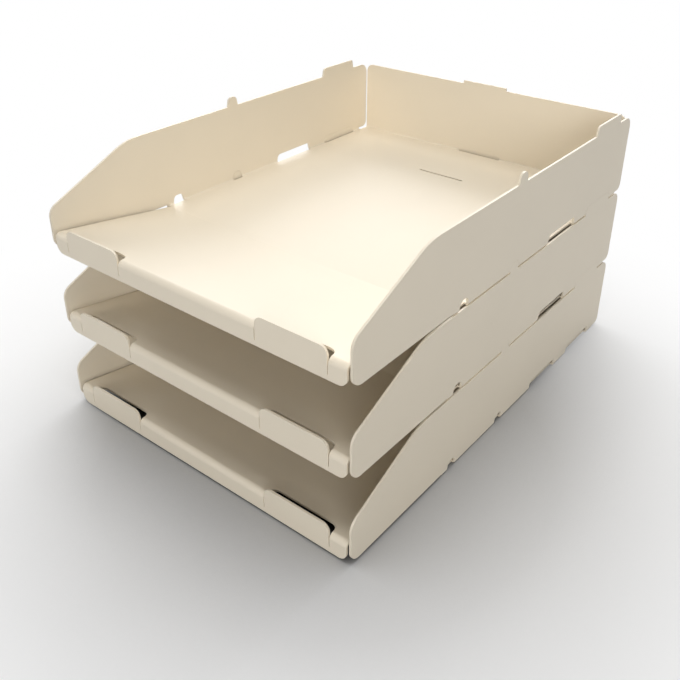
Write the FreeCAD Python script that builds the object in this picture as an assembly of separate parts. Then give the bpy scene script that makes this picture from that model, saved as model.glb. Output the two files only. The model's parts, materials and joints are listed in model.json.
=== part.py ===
import FreeCAD, Part
import math
import os

# A stack of three equal letter trays for A4 paper.
# Each tray is one piece of sheet steel, cut flat by laser, folded and powder coated.
# +X is to the right, -Y is the open front and +Z is up.
# The origin is on the table, in the middle of the stack.
# Inside the functions, Y is counted back from the front apron of a tray, and Z up from its own base.

# The whole tray, in millimetres
tray_width = 250.0
tray_depth = 338.0
tray_height = 60.5
sheet = 1.5
bend_inside = 1.0
tray_names = ["bottom_tray", "middle_tray", "top_tray"]

# How the trays fit together
seat_gap = 0.1
tab_play = 0.2
tab_headroom = 0.1
step_back = 61.5

# Side walls
wall_front_height = 31.0
wall_slope_length = 66.0
wall_front_round = 9.0
wall_slope_round = 45.0
wall_toe_round = 8.0
wall_toe_lift = 2.4
wall_rear_round = 8.0
wall_heel_round = 4.6

# Tabs on the top edges of the side walls
side_tab_height = 7.0
side_tab_lean = 1.5
small_tab_to_crease = 67.7
small_tab_length = 10.4
small_tab_round = 3.3
wide_tab_length = 41.6
wide_tab_front_round = 3.5
wide_tab_rear_round = 1.6
wide_tab_to_back = 20.0

# Openings at the folds
fold_margin = 0.5
fold_to_back = 10.0
corner_gap = 2.0
corner_hole_radius = 1.5

# Back wall
back_round = 6.0
back_tab_length = 40.0
back_tab_height = 2.5
back_tab_round = 0.8

# Ramp, lip and apron at the front
ramp_length = 95.0
lip_height = 15.9
lip_inside = 2.2
apron_lift = 1.7
apron_round = 6.0

# The two upright tabs of the apron
front_tab_to_side = 12.9
front_tab_length = 50.6
front_tab_height = 21.2
front_tab_round = 5.5
front_slit = 0.6
front_slit_foot = 5.0
front_slot_depth = 9.2
front_slot_round = 6.0

# What follows from those sizes
bend_outside = bend_inside + sheet
half_width = tray_width / 2
inner_half = half_width - sheet - corner_gap
side_fold_front = ramp_length + fold_margin
side_fold_rear = tray_depth - fold_to_back
small_tab_front = ramp_length + small_tab_to_crease
wide_tab_front = tray_depth - wide_tab_to_back - wide_tab_length
front_tab_outer = inner_half - front_tab_to_side
front_tab_inner = front_tab_outer - front_tab_length
lip_outside = lip_inside + sheet

# A wall stands on the curve of the fold above it, with its inner edge a little up that curve
seat_rise = bend_outside - math.sqrt(bend_outside ** 2 - bend_inside ** 2)
tray_pitch = tray_height - seat_rise + seat_gap
wall_overlap = tray_height - tray_pitch

# Cutting tools reach this far past the steel
clear = 5.0

side_tabs = [
    (small_tab_front, small_tab_length, small_tab_round, small_tab_round),
    (wide_tab_front, wide_tab_length, wide_tab_front_round, wide_tab_rear_round),
]


def rounded_edges(corners, place):
    """Edges of a closed outline of (u, v, radius) corners. A radius is limited by the sides beside it."""
    points = [FreeCAD.Vector(u, v, 0) for u, v, radius in corners]
    runs = []
    for index, (u, v, radius) in enumerate(corners):
        here = points[index]
        before = points[index - 1] - here
        after = points[(index + 1) % len(points)] - here
        if radius == 0:
            runs.append([here])
            continue
        half_angle = before.getAngle(after) / 2
        shorter_side = min(before.Length, after.Length)
        reach = min(radius / math.tan(half_angle), 0.48 * shorter_side)
        before.normalize()
        after.normalize()
        used_radius = reach * math.tan(half_angle)
        inward = before + after
        inward.normalize()
        middle = here + inward * (used_radius / math.sin(half_angle) - used_radius)
        runs.append([here + before * reach, middle, here + after * reach])

    edges = []
    for index, run in enumerate(runs):
        if len(run) == 3:
            edges.append(Part.Arc(*[place(point) for point in run]).toShape())
        next_start = runs[(index + 1) % len(runs)][0]
        edges.append(Part.makeLine(place(run[-1]), place(next_start)))
    return edges


def plate(plane, corners, start, end):
    """A plate of the rounded outline in plane YZ, XZ or XY, from start to end across that plane."""
    if plane == "YZ":
        across = FreeCAD.Vector(1, 0, 0)
        place = lambda point: FreeCAD.Vector(start, point.x, point.y)
    elif plane == "XZ":
        across = FreeCAD.Vector(0, 1, 0)
        place = lambda point: FreeCAD.Vector(point.x, start, point.y)
    else:
        across = FreeCAD.Vector(0, 0, 1)
        place = lambda point: FreeCAD.Vector(point.x, point.y, start)
    face = Part.Face(Part.Wire(rounded_edges(corners, place)))
    return face.extrude(across * (end - start))


def mirrored(shape):
    """The shape and its mirror image on the other side of the tray."""
    twin = shape.mirror(FreeCAD.Vector(0, 0, 0), FreeCAD.Vector(1, 0, 0))
    return [shape, twin]


def side_wall_outline():
    """The side view of a tray: sloped front corners, and two tabs on the straight top edge."""
    corners = [
        (0, wall_toe_lift, wall_toe_round),
        (side_fold_front, wall_toe_lift, 0),
        (side_fold_front, 0, 0),
        (side_fold_rear, 0, 0),
        (side_fold_rear, wall_toe_lift, 0),
        (tray_depth, wall_toe_lift, wall_heel_round),
        (tray_depth, tray_height, wall_rear_round),
    ]
    for front, length, front_round, rear_round in reversed(side_tabs):
        corners += [
            (front + length, tray_height, 0),
            (front + length - side_tab_lean, tray_height + side_tab_height, rear_round),
            (front + side_tab_lean, tray_height + side_tab_height, front_round),
            (front, tray_height, 0),
        ]
    corners += [
        (wall_slope_length, tray_height, wall_slope_round),
        (0, wall_front_height, wall_front_round),
    ]
    return corners


def side_walls():
    """Both side walls with their folds and the floor strip that joins them."""
    top = tray_height + side_tab_height
    trough = plate("XZ", [
        (-half_width, top, 0),
        (-half_width, 0, bend_outside),
        (half_width, 0, bend_outside),
        (half_width, top, 0),
        (half_width - sheet, top, 0),
        (half_width - sheet, sheet, bend_inside),
        (sheet - half_width, sheet, bend_inside),
        (sheet - half_width, top, 0),
    ], side_fold_front, side_fold_rear)
    full_walls = mirrored(Part.makeBox(
        sheet, tray_depth, top, FreeCAD.Vector(half_width - sheet, 0, wall_toe_lift)))
    side_view = plate("YZ", side_wall_outline(), -half_width, half_width)
    return trough.fuse(full_walls).common(side_view)


def long_strip():
    """The strip from the back wall through floor, crease, ramp and lip down to the apron."""
    ramp_angle = math.atan((lip_height - sheet) / ramp_length)
    upright_sheet = sheet / math.cos(ramp_angle)
    under_lip = lip_height - sheet * math.tan(ramp_angle) - upright_sheet
    under_crease = (lip_height - upright_sheet) / math.tan(ramp_angle)
    top = tray_height + back_tab_height
    strip = plate("YZ", [
        (0, apron_lift, 0),
        (0, lip_height, lip_outside),
        (ramp_length, sheet, bend_inside),
        (tray_depth - sheet, sheet, bend_inside),
        (tray_depth - sheet, top, 0),
        (tray_depth, top, 0),
        (tray_depth, 0, bend_outside),
        (under_crease, 0, bend_outside),
        (sheet, under_lip, lip_inside),
        (sheet, apron_lift, 0),
    ], -inner_half, inner_half)
    half_tab = back_tab_length / 2
    rear_view = plate("XZ", [
        (-inner_half, -clear, 0),
        (inner_half, -clear, 0),
        (inner_half, tray_height, back_round),
        (half_tab, tray_height, 0),
        (half_tab, top, back_tab_round),
        (-half_tab, top, back_tab_round),
        (-half_tab, tray_height, 0),
        (-inner_half, tray_height, back_round),
    ], -clear, tray_depth + clear)
    strip = strip.common(rear_view)
    return strip.makeFillet(apron_round, apron_corners(strip))


def apron_corners(strip):
    """The two short edges across the sheet at the lower corners of the apron."""
    found = []
    for edge in strip.Edges:
        middle = edge.CenterOfMass
        at_side = abs(abs(middle.x) - inner_half) < 0.01
        at_foot = abs(middle.z - apron_lift) < 0.01
        if at_side and at_foot and edge.Length < 1.01 * sheet:
            found.append(edge)
    return found


def tab_openings():
    """Openings at the folds for the tabs of the tray below: one set straight down, one set further forward."""
    cutters = []
    fold_reach = bend_outside + fold_margin
    opening_top = side_tab_height + wall_overlap + tab_headroom
    for shift in (0, step_back):
        for front, length, front_round, rear_round in side_tabs:
            opening_front = front - shift - tab_play
            opening_rear = front - shift + length + tab_play
            opening = plate("YZ", [
                (opening_front, -clear, 0),
                (opening_rear, -clear, 0),
                (opening_rear, wall_overlap, 0),
                (opening_rear - side_tab_lean, opening_top, rear_round),
                (opening_front + side_tab_lean, opening_top, front_round),
                (opening_front, wall_overlap, 0),
            ], half_width - fold_reach, half_width + clear)
            cutters += mirrored(opening)

    half_slot = back_tab_length / 2 + tab_play
    back_top = back_tab_height + wall_overlap + tab_headroom
    cutters.append(Part.makeBox(
        2 * half_slot, fold_reach + clear, back_top + clear,
        FreeCAD.Vector(-half_slot, tray_depth - fold_reach, -clear)))
    floor_slit_front = tray_depth - sheet - step_back - tab_play
    cutters.append(Part.makeBox(
        2 * half_slot, sheet + 2 * tab_play, 2 * clear,
        FreeCAD.Vector(-half_slot, floor_slit_front, -clear)))
    return cutters


def corner_holes():
    """Small round holes where the side folds end, at the ramp and at the back corners."""
    holes = []
    for depth in (side_fold_front, side_fold_rear):
        centre = FreeCAD.Vector(inner_half + corner_gap / 2, depth, -clear)
        holes += mirrored(Part.makeCylinder(corner_hole_radius, clear + bend_outside, centre))
    return holes


def front_tab_slots():
    """The cut-outs that the two front tabs leave in the lip and the ramp, with a slit beside each tab."""
    slot = plate("XY", [
        (front_tab_inner - front_slit, -clear, 0),
        (front_tab_outer + front_slit, -clear, 0),
        (front_tab_outer + front_slit, front_slot_depth, front_slot_round),
        (front_tab_inner - front_slit, front_slot_depth, front_slot_round),
    ], front_slit_foot, lip_height + clear)
    return mirrored(slot)


def front_tabs():
    """The two flat tabs that stand up straight out of the apron."""
    tab = plate("XZ", [
        (front_tab_inner, front_slit_foot, 0),
        (front_tab_outer, front_slit_foot, 0),
        (front_tab_outer, front_tab_height, front_tab_round),
        (front_tab_inner, front_tab_height, front_tab_round),
    ], 0, sheet)
    return mirrored(tab)


def tray():
    """One whole tray, with the front apron at Y 0 and the underside of the floor at Z 0."""
    body = long_strip().cut(front_tab_slots())
    body = body.fuse([side_walls()] + front_tabs())
    body = body.cut(tab_openings() + corner_holes())
    return body.removeSplitter()


os.makedirs("parts", exist_ok=True)
one_tray = tray()
for level, name in enumerate(tray_names):
    placed = one_tray.copy()
    placed.translate(FreeCAD.Vector(0, -tray_depth / 2, level * tray_pitch))
    solid = placed.Solids[0]
    print(name, "solids", len(placed.Solids), "valid", placed.isValid(),
          "volume", round(placed.Volume), "faces", len(placed.Faces), "base", round(placed.BoundBox.ZMin, 3))
    solid.exportStep("parts/" + name + ".step")
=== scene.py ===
# %% [markdown]
# # A stack of folded steel letter trays
# Each real tray starts as one flat sheet, cut by laser and folded along its floor.
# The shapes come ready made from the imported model, so this file gives them their paint,
# a table to stand on, soft studio light and a camera.

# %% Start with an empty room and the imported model
import json
import math

import bmesh
import bpy
from mathutils import Matrix, Vector

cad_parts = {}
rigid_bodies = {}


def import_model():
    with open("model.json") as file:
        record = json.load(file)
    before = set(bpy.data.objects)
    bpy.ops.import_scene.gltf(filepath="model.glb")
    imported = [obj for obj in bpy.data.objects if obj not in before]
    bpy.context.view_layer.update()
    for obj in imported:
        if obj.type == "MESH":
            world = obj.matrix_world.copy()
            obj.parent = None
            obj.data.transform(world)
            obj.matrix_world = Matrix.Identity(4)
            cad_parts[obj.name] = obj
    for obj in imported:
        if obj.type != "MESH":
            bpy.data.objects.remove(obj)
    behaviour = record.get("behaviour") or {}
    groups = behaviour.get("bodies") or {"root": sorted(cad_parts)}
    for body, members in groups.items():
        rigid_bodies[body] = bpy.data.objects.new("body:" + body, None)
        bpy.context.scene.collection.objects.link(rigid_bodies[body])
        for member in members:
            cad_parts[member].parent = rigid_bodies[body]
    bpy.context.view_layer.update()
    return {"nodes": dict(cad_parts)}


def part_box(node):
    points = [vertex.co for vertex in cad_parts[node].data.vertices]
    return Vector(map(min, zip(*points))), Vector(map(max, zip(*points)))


for leftover in list(bpy.data.objects):
    bpy.data.objects.remove(leftover, do_unlink=True)

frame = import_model()
trays = ["bottom_tray", "middle_tray", "top_tray"]
for name in trays:
    low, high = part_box(name)
    print(name, "reaches from", [round(v, 4) for v in low], "to", [round(v, 4) for v in high])

# %% [markdown]
# ## Helpers for node materials
# A material is a graph of nodes. Two short helpers keep each graph readable:
# one adds a node and sets its values, the other joins two sockets.


# %% Add a node, join two sockets
def add_node(tree, kind, **values):
    """A new shader node with its settings and its sockets' values."""
    node = tree.nodes.new("ShaderNode" + kind)
    for key, value in values.items():
        if hasattr(node, key):
            setattr(node, key, value)
        else:
            node.inputs[key.replace("_", " ")].default_value = value
    return node


def join(tree, source, output, target, socket):
    tree.links.new(source.outputs[output], target.inputs[socket])


# %% [markdown]
# ## The ivory powder coat
# Powder coat is sprayed on dry and baked. It levels into a satin film with a faint
# orange peel a few millimetres across and a finer grain under a half millimetre.
# It draws back a little from cut edges, so they look softly rounded.
# The Bevel node rounds only the shading there, which suits steel of this thickness:
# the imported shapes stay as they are.


# %% Mix the coat's colour, gloss and grain
def powder_coat(name, colour):
    """Satin powder coat on sheet steel, patterned in each tray's own coordinates."""
    material = bpy.data.materials.new(name)
    material.use_nodes = True
    tree = material.node_tree
    shader = tree.nodes["Principled BSDF"]
    place = add_node(tree, "TexCoord")

    cloud = add_node(tree, "TexNoise", Scale=14.0, Detail=3.0, Roughness=0.55)
    join(tree, place, "Object", cloud, "Vector")
    tint = add_node(tree, "ValToRGB")
    tint.color_ramp.elements[0].position = 0.3
    tint.color_ramp.elements[0].color = (*[c * 0.985 for c in colour], 1)
    tint.color_ramp.elements[1].position = 0.7
    tint.color_ramp.elements[1].color = (*[min(c * 1.01, 1.0) for c in colour], 1)
    join(tree, cloud, "Fac", tint, "Fac")
    join(tree, tint, "Color", shader, "Base Color")

    grain = add_node(tree, "TexNoise", Scale=2200.0, Detail=2.0, Roughness=0.5)
    join(tree, place, "Object", grain, "Vector")
    gloss = add_node(tree, "MapRange", From_Min=0.3, From_Max=0.7, To_Min=0.42, To_Max=0.48)
    join(tree, grain, "Fac", gloss, "Value")
    join(tree, gloss, "Result", shader, "Roughness")

    peel = add_node(tree, "TexNoise", Scale=420.0, Detail=1.0, Roughness=0.4)
    join(tree, place, "Object", peel, "Vector")
    soft_edge = add_node(tree, "Bevel", samples=6, Radius=0.00025)
    peel_bump = add_node(tree, "Bump", Strength=0.10, Distance=0.00006)
    join(tree, soft_edge, "Normal", peel_bump, "Normal")
    join(tree, peel, "Fac", peel_bump, "Height")
    grain_bump = add_node(tree, "Bump", Strength=0.12, Distance=0.00002)
    join(tree, peel_bump, "Normal", grain_bump, "Normal")
    join(tree, grain, "Fac", grain_bump, "Height")
    join(tree, grain_bump, "Normal", shader, "Normal")

    shader.inputs["Specular IOR Level"].default_value = 0.5
    print("coat", name, "colour", [round(c, 3) for c in colour])
    return material


ivory = powder_coat("ivory powder coat", (0.84, 0.755, 0.61))
for name in trays:
    tray = frame["nodes"][name]
    tray.material_slots[0].material = ivory

# %% [markdown]
# ## Table and backdrop
# A plain white table runs out of sight. In the photograph the background is white, and only
# the shadow beside the stack and the dark line under it show where the table is.
# Ambient occlusion darkens the white paint near the stack, which is painted shade laid over
# the lamps' real shadow. Light that bounces off the table meets a dimmer paint, so the
# outer walls get no more light from below than they do in the photograph. The painted shade
# and the real shadow lie in a pool around a point in front of the stack, and further out the table
# fades into the backdrop's white, so no view ends in a horizon.

# %% Lay the table
table_mesh = bpy.data.meshes.new("table")
table = bpy.data.objects.new("table", table_mesh)
bpy.context.scene.collection.objects.link(table)
half_table = 6.0
grid = bmesh.new()
bmesh.ops.create_grid(grid, x_segments=1, y_segments=1, size=half_table)
grid.to_mesh(table_mesh)
grid.free()
print("table reaches", half_table, "m each way")

# %% Tell what is looked at from what only sends light on
def seen_rays(tree):
    """A socket that is 1 for rays from the camera, off gloss or through glass, and 0 for the rest."""
    path = add_node(tree, "LightPath")
    camera_or_gloss = add_node(tree, "Math", operation="MAXIMUM")
    join(tree, path, "Is Camera Ray", camera_or_gloss, 0)
    join(tree, path, "Is Glossy Ray", camera_or_gloss, 1)
    seen = add_node(tree, "Math", operation="MAXIMUM")
    join(tree, camera_or_gloss, "Value", seen, 0)
    join(tree, path, "Is Transmission Ray", seen, 1)
    return seen


# %% Paint the table white, with the stack's soft shadow, partly real and partly painted shade
shade_middle = (0.05, -0.10, 0)
shade_reach = 0.15
white_from = 0.44
table_paint = bpy.data.materials.new("white table")
table_paint.use_nodes = True
tree = table_paint.node_tree
seen_paint = tree.nodes["Principled BSDF"]
seen_paint.inputs["Roughness"].default_value = 0.85
seen_paint.inputs["Specular IOR Level"].default_value = 0.1
# Painted shade: ambient occlusion darkens the table's colour near the stack.
painted_contact_shade = add_node(tree, "AmbientOcclusion", samples=32, Distance=0.25, Color=(0.9, 0.9, 0.9, 1))
join(tree, painted_contact_shade, "Color", seen_paint, "Base Color")
dim_paint = add_node(tree, "BsdfDiffuse", Color=(0.55, 0.55, 0.55, 1))
place = add_node(tree, "TexCoord")
away = add_node(tree, "VectorMath", operation="DISTANCE")
away.inputs[1].default_value = shade_middle
join(tree, place, "Object", away, 0)
# Painted shadow pool: around a point in front of the stack, the paint and its shadow fade into plain white
# light.
fade = add_node(tree, "MapRange", From_Min=shade_reach, From_Max=white_from)
join(tree, away, "Value", fade, "Value")
backdrop_white = add_node(tree, "Emission", Color=(1, 1, 1, 1), Strength=1.0)
paint_or_backdrop = add_node(tree, "MixShader")
join(tree, fade, "Result", paint_or_backdrop, "Fac")
join(tree, seen_paint, "BSDF", paint_or_backdrop, 1)
join(tree, backdrop_white, "Emission", paint_or_backdrop, 2)
choose = add_node(tree, "MixShader")
join(tree, seen_rays(tree), "Value", choose, "Fac")
join(tree, dim_paint, "BSDF", choose, 1)
join(tree, paint_or_backdrop, "Shader", choose, 2)
join(tree, choose, "Shader", tree.nodes["Material Output"], "Surface")
print("the table turns to plain backdrop white between", shade_reach, "m and", white_from, "m out")
table_mesh.materials.append(table_paint)

# %% [markdown]
# ## Light
# The stack is lit from behind and from above: soft lamps stand at the back and at the left,
# and a wide one hangs overhead. They make the floors bright and throw the shadow forward.
# One lamp at the front right lights the outer wall and reaches in between the trays.
# The room itself is nearly dark as a lamp, but gloss and the camera see it white.

# %% Set up the room and the lamps
world = bpy.data.worlds.new("white room")
bpy.context.scene.world = world
world.use_nodes = True
tree = world.node_tree
tree.nodes.clear()
room_light = add_node(tree, "Background", Color=(1, 1, 1, 1), Strength=0.139)
seen_white = add_node(tree, "Background", Color=(1, 1, 1, 1), Strength=1.0)
choose = add_node(tree, "MixShader")
result = add_node(tree, "OutputWorld")
join(tree, seen_rays(tree), "Value", choose, "Fac")
tree.links.new(room_light.outputs[0], choose.inputs[1])
tree.links.new(seen_white.outputs[0], choose.inputs[2])
join(tree, choose, "Shader", result, "Surface")


def soft_lamp(name, place, target, width, height, power, colour):
    """A rectangular lamp at place that faces target."""
    light = bpy.data.lights.new(name, "AREA")
    light.shape = "RECTANGLE"
    light.size = width
    light.size_y = height
    light.energy = power
    light.color = colour
    lamp = bpy.data.objects.new(name, light)
    bpy.context.scene.collection.objects.link(lamp)
    aim = Vector(target) - Vector(place)
    lamp.matrix_world = Matrix.Translation(place) @ aim.to_track_quat("-Z", "Y").to_matrix().to_4x4()
    return lamp


def place_on_dome(azimuth, elevation, distance):
    """A point that far from the stack, azimuth counted from the back wall's side towards the right."""
    turned, raised = math.radians(azimuth), math.radians(elevation)
    level = distance * math.cos(raised)
    return (level * math.sin(turned), level * math.cos(turned), 0.1 + distance * math.sin(raised))


lamps = [
    # name, azimuth, elevation, distance, width, height, power
    ("back", -8, 28, 2.2, 1.4, 0.9, 13.8),
    ("back left", -38, 28, 2.2, 1.4, 0.9, 12.8),
    ("left", -70, 28, 2.2, 1.4, 0.9, 5.3),
    ("left, low", -70, 12, 2.2, 1.4, 0.9, 14.5),
    ("overhead", 0, 89, 1.8, 1.6, 1.6, 17.9),
    ("front right, low", 142, 18, 2.2, 1.4, 0.9, 21.4),
    ("front, low", 180, 18, 2.2, 1.4, 0.9, 1.9),
]
for name, azimuth, elevation, distance, width, height, power in lamps:
    soft_lamp(name, place_on_dome(azimuth, elevation, distance), (0, 0, 0.08), width, height, power, (1, 1, 1))

# %% [markdown]
# ## Camera
# The camera's place, direction and focal length were found by fitting the edges of the
# known trays to the photograph. The lens looks 28 degrees down, and the frame is shifted
# as a crop of a larger picture would be.

# %% Place the camera
camera_place = Vector((0.32987, -0.43393, 0.37002))
turn = math.radians(38.049)
dip = math.radians(28.176)
roll = math.radians(0.368)
focal_px = 827.57
centre_px = (349.41, 271.37)
frame_px = 680

forward = Vector((-math.sin(turn) * math.cos(dip), math.cos(turn) * math.cos(dip), -math.sin(dip)))
level_right = Vector((math.cos(turn), math.sin(turn), 0))
level_up = level_right.cross(forward)
right = level_right * math.cos(roll) + level_up * math.sin(roll)
up = level_up * math.cos(roll) - level_right * math.sin(roll)
lens = bpy.data.cameras.new("camera")
lens.sensor_fit = "HORIZONTAL"
lens.sensor_width = 36.0
lens.lens = 36.0 * focal_px / frame_px
lens.shift_x = (frame_px / 2 - centre_px[0]) / frame_px
lens.shift_y = (centre_px[1] - frame_px / 2) / frame_px
lens.clip_start = 0.01
camera = bpy.data.objects.new("camera", lens)
bpy.context.scene.collection.objects.link(camera)
axes = Matrix((right, up, -forward)).transposed()
camera.matrix_world = Matrix.Translation(camera_place) @ axes.to_4x4()
bpy.context.scene.camera = camera
bpy.context.scene.view_settings.view_transform = "Standard"
print("lens", round(lens.lens, 2), "shift", round(lens.shift_x, 4), round(lens.shift_y, 4))
